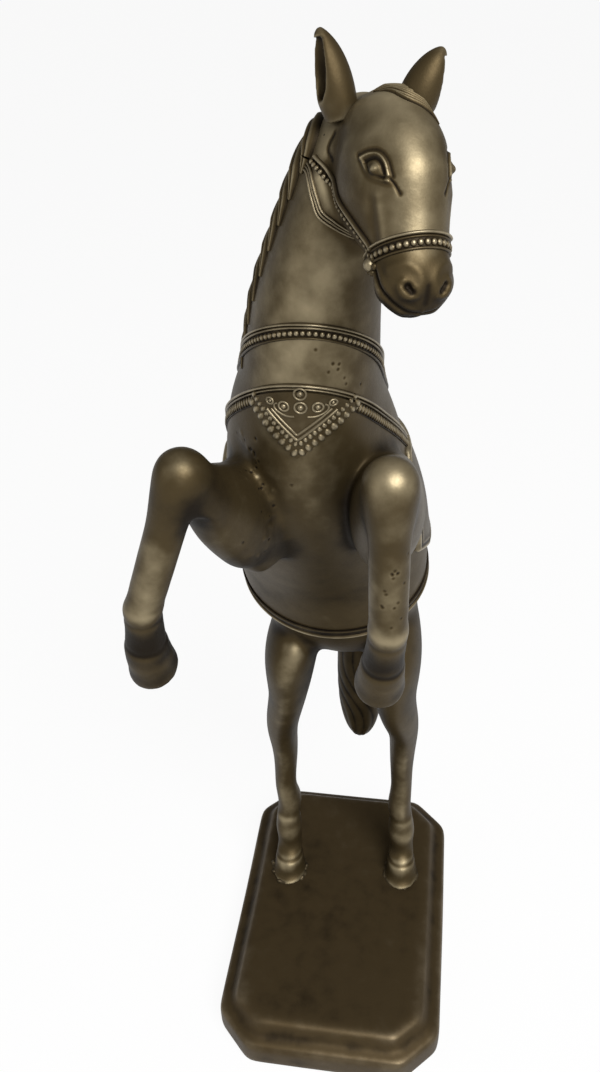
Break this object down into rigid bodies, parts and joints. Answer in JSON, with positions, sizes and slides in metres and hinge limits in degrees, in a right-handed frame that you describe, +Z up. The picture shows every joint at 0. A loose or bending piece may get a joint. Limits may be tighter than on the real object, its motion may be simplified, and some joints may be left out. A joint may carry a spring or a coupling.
{
  "type": "rearing horse statue",
  "caption": "Cast brass statue of a rearing horse with its head turned, in a beaded bridle, collar, breast band and saddle cloth, on a stepped plinth with cut corners.",
  "frame": {"origin": "centre of the plinth's underside", "axes": "+Z up; the horse faces -Y; +X is the horse's left, to the right in the picture"},
  "size_m": [0.1717, 0.2255, 0.6097],
  "materials": {
    "horse_brass": "cast brass with a dark brown patina, rubbed pale on the high places",
    "harness_brass": "cast brass with dark patina left in the chased grooves",
    "plinth_brass": "satin cast brass with an even dark brown patina",
    "braze": "rough braze metal, lightly cleaned"
  },
  "bodies": {
    "root": {"plinth": "plinth_brass", "body": "horse_brass", "neck": "horse_brass", "head": "horse_brass", "ear_left": "horse_brass", "ear_right": "horse_brass", "forelock": "horse_brass", "mane": "horse_brass", "foreleg_left": "horse_brass", "foreleg_right": "horse_brass", "hind_leg_left": "horse_brass", "hind_leg_right": "horse_brass", "tail": "horse_brass", "saddle_cloth": "harness_brass", "saddle": "harness_brass", "girth": "harness_brass", "collar": "harness_brass", "breast_band": "harness_brass", "breast_pendant": "harness_brass", "noseband": "harness_brass", "cheek_strap_left": "harness_brass", "cheek_strap_right": "harness_brass", "throat_strap": "harness_brass", "bit_knob_left": "harness_brass", "bit_knob_right": "harness_brass", "hoof_braze_left": "braze", "hoof_braze_right": "braze"}
  },
  "joints": []
}
